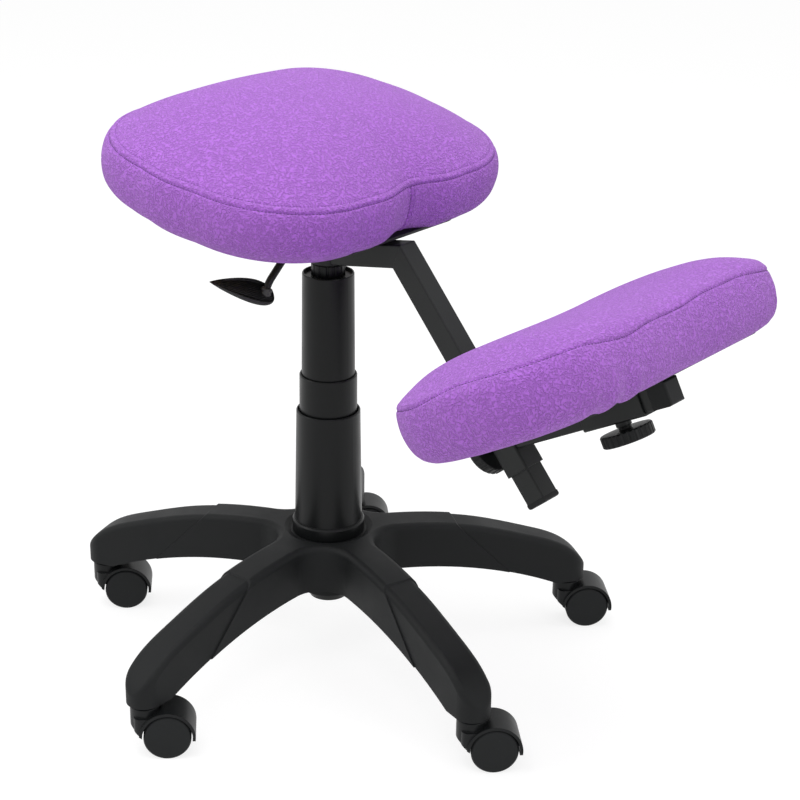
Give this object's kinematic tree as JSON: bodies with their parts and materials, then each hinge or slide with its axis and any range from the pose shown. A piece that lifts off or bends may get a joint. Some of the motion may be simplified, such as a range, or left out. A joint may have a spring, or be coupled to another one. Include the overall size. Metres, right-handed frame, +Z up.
{
  "type": "kneeling chair",
  "caption": "Kneeling chair with a domed seat and a sloping knee pad on a bent tube frame, with lever height adjustment, clamp knobs and a swivel base on casters.",
  "frame": {"origin": "on the floor, on the axis of the column", "axes": "+X forward, from the seat to the knee pad; +Y to the sitter's left; +Z up"},
  "size_m": [0.7528, 0.5952, 0.6571],
  "materials": {
    "base_plastic": "matte",
    "cover_plastic": "satin",
    "caster_plastic": "satin",
    "wheel_plastic": "matte",
    "knob_plastic": "satin",
    "plug_plastic": "satin",
    "bush_plastic": "satin",
    "frame_paint": "powder coat, satin",
    "column_paint": "satin",
    "steel": "zinc plated",
    "rod_chrome": "ground",
    "rubber": "matte",
    "board_wood": "raw plywood",
    "cover_fabric": "fine crepe weave"
  },
  "bodies": {
    "base": {"base_star": "base_plastic", "lower_cover": "cover_plastic", "gas_outer_tube": "column_paint", "guide_bush": "bush_plastic", "piston_rod": "rod_chrome", "thrust_bearing": "steel", "bump_buffer": "rubber", "retaining_clip": "steel"},
    "cover_slide": {"middle_cover": "cover_plastic"},
    "lift": {"gas_cylinder": "column_paint", "upper_cover": "cover_plastic", "cover_crown": "cover_plastic"},
    "valve": {"release_button": "steel"},
    "seat": {"top_tube": "frame_paint", "down_tube": "frame_paint", "gas_socket": "frame_paint", "tube_end_cap": "plug_plastic", "seat_bracket": "frame_paint", "lever_pin": "steel", "seat_plate": "frame_paint", "seat_bolts": "steel", "seat_board": "board_wood", "seat_cushion": "cover_fabric"},
    "lever": {"lever_rod": "frame_paint", "lever_grip": "knob_plastic"},
    "carriage": {"knee_collar": "frame_paint", "knee_bar": "frame_paint", "bar_end_cap": "plug_plastic"},
    "shoe_a": {"shoe_upper": "bush_plastic"},
    "clamp_a": {"screw_upper": "steel", "knob_upper": "knob_plastic"},
    "pad": {"pad_sleeve": "frame_paint", "knee_plate": "frame_paint", "knee_screws": "steel", "knee_board": "board_wood", "knee_cushion": "cover_fabric"},
    "shoe_b": {"shoe_lower": "bush_plastic"},
    "clamp_b": {"screw_lower": "steel", "knob_lower": "knob_plastic"},
    "caster_1": {"caster_hood_1": "caster_plastic", "caster_pins_1": "steel"},
    "roller_a_1": {"wheel_a_1": "wheel_plastic"},
    "roller_b_1": {"wheel_b_1": "wheel_plastic"},
    "caster_2": {"caster_hood_2": "caster_plastic", "caster_pins_2": "steel"},
    "roller_a_2": {"wheel_a_2": "wheel_plastic"},
    "roller_b_2": {"wheel_b_2": "wheel_plastic"},
    "caster_3": {"caster_hood_3": "caster_plastic", "caster_pins_3": "steel"},
    "roller_a_3": {"wheel_a_3": "wheel_plastic"},
    "roller_b_3": {"wheel_b_3": "wheel_plastic"},
    "caster_4": {"caster_hood_4": "caster_plastic", "caster_pins_4": "steel"},
    "roller_a_4": {"wheel_a_4": "wheel_plastic"},
    "roller_b_4": {"wheel_b_4": "wheel_plastic"},
    "caster_5": {"caster_hood_5": "caster_plastic", "caster_pins_5": "steel"},
    "roller_a_5": {"wheel_a_5": "wheel_plastic"},
    "roller_b_5": {"wheel_b_5": "wheel_plastic"}
  },
  "joints": [
    {"name": "height", "type": "slide", "parent": "base", "child": "lift", "axis": [0, 0, 1], "range_m": [-0.11, 0.03]},
    {"name": "cover_follow", "type": "slide", "parent": "base", "child": "cover_slide", "axis": [0, 0, 1], "range_m": [-0.055, 0.015]},
    {"name": "seat_swivel", "type": "hinge", "parent": "lift", "child": "seat", "pos_m": [0, 0, 0.49], "axis": [0, 0, 1], "continuous": true},
    {"name": "valve_press", "type": "slide", "parent": "lift", "child": "valve", "axis": [0, 0, 1], "range_m": [-0.0029, 0]},
    {"name": "lever_lift", "type": "hinge", "parent": "seat", "child": "lever", "pos_m": [0, -0.016, 0.5238], "axis": [-1, 0, 0], "range_deg": [0, 10], "stiffness_Nm_per_rad": 2},
    {"name": "knee_height", "type": "slide", "parent": "seat", "child": "carriage", "axis": [0.6455, 0, -0.7638], "range_m": [-0.08, 0.03]},
    {"name": "shoe_a_press", "type": "slide", "parent": "carriage", "child": "shoe_a", "axis": [-0.7638, 0, -0.6455], "range_m": [0, 0.0015]},
    {"name": "clamp_a_turn", "type": "hinge", "parent": "shoe_a", "child": "clamp_a", "pos_m": [0.23069, 0, 0.32226], "axis": [-0.7638, 0, -0.6455], "range_deg": [0, 360]},
    {"name": "pad_reach", "type": "slide", "parent": "carriage", "child": "pad", "axis": [0.8829, 0, 0.4695], "range_m": [-0.01, 0.03]},
    {"name": "shoe_b_press", "type": "slide", "parent": "pad", "child": "shoe_b", "axis": [0.4695, 0, -0.8829], "range_m": [0, 0.0015]},
    {"name": "clamp_b_turn", "type": "hinge", "parent": "shoe_b", "child": "clamp_b", "pos_m": [0.38163, 0, 0.3864], "axis": [0.4695, 0, -0.8829], "range_deg": [0, 360]},
    {"name": "caster_swivel_1", "type": "hinge", "parent": "base", "child": "caster_1", "pos_m": [0.17046, 0.23461, 0.06], "axis": [0, 0, 1], "continuous": true},
    {"name": "wheel_a_spin_1", "type": "hinge", "parent": "caster_1", "child": "roller_a_1", "pos_m": [0.18679, 0.25038, 0.025], "axis": [-0.6947, 0.7193, 0], "continuous": true},
    {"name": "wheel_b_spin_1", "type": "hinge", "parent": "caster_1", "child": "roller_b_1", "pos_m": [0.18679, 0.25038, 0.025], "axis": [-0.6947, 0.7193, 0], "continuous": true},
    {"name": "caster_swivel_2", "type": "hinge", "parent": "base", "child": "caster_2", "pos_m": [-0.17046, 0.23461, 0.06], "axis": [0, 0, 1], "continuous": true},
    {"name": "wheel_a_spin_2", "type": "hinge", "parent": "caster_2", "child": "roller_a_2", "pos_m": [-0.15413, 0.25038, 0.025], "axis": [-0.6947, 0.7193, 0], "continuous": true},
    {"name": "wheel_b_spin_2", "type": "hinge", "parent": "caster_2", "child": "roller_b_2", "pos_m": [-0.15413, 0.25038, 0.025], "axis": [-0.6947, 0.7193, 0], "continuous": true},
    {"name": "caster_swivel_3", "type": "hinge", "parent": "base", "child": "caster_3", "pos_m": [-0.27581, -0.08962, 0.06], "axis": [0, 0, 1], "continuous": true},
    {"name": "wheel_a_spin_3", "type": "hinge", "parent": "caster_3", "child": "roller_a_3", "pos_m": [-0.25948, -0.07385, 0.025], "axis": [-0.6947, 0.7193, 0], "continuous": true},
    {"name": "wheel_b_spin_3", "type": "hinge", "parent": "caster_3", "child": "roller_b_3", "pos_m": [-0.25948, -0.07385, 0.025], "axis": [-0.6947, 0.7193, 0], "continuous": true},
    {"name": "caster_swivel_4", "type": "hinge", "parent": "base", "child": "caster_4", "pos_m": [0, -0.29, 0.06], "axis": [0, 0, 1], "continuous": true},
    {"name": "wheel_a_spin_4", "type": "hinge", "parent": "caster_4", "child": "roller_a_4", "pos_m": [0.01633, -0.27423, 0.025], "axis": [-0.6947, 0.7193, 0], "continuous": true},
    {"name": "wheel_b_spin_4", "type": "hinge", "parent": "caster_4", "child": "roller_b_4", "pos_m": [0.01633, -0.27423, 0.025], "axis": [-0.6947, 0.7193, 0], "continuous": true},
    {"name": "caster_swivel_5", "type": "hinge", "parent": "base", "child": "caster_5", "pos_m": [0.27581, -0.08962, 0.06], "axis": [0, 0, 1], "continuous": true},
    {"name": "wheel_a_spin_5", "type": "hinge", "parent": "caster_5", "child": "roller_a_5", "pos_m": [0.29213, -0.07385, 0.025], "axis": [-0.6947, 0.7193, 0], "continuous": true},
    {"name": "wheel_b_spin_5", "type": "hinge", "parent": "caster_5", "child": "roller_b_5", "pos_m": [0.29213, -0.07385, 0.025], "axis": [-0.6947, 0.7193, 0], "continuous": true}
  ],
  "couplings": [
    {"joint": "cover_follow", "follows": "height", "ratio": 0.5},
    {"joint": "valve_press", "follows": "lever_lift", "m_per_rad": -0.016},
    {"joint": "shoe_a_press", "follows": "clamp_a_turn", "m_per_rad": 0.000238},
    {"joint": "shoe_b_press", "follows": "clamp_b_turn", "m_per_rad": 0.000238}
  ]
}
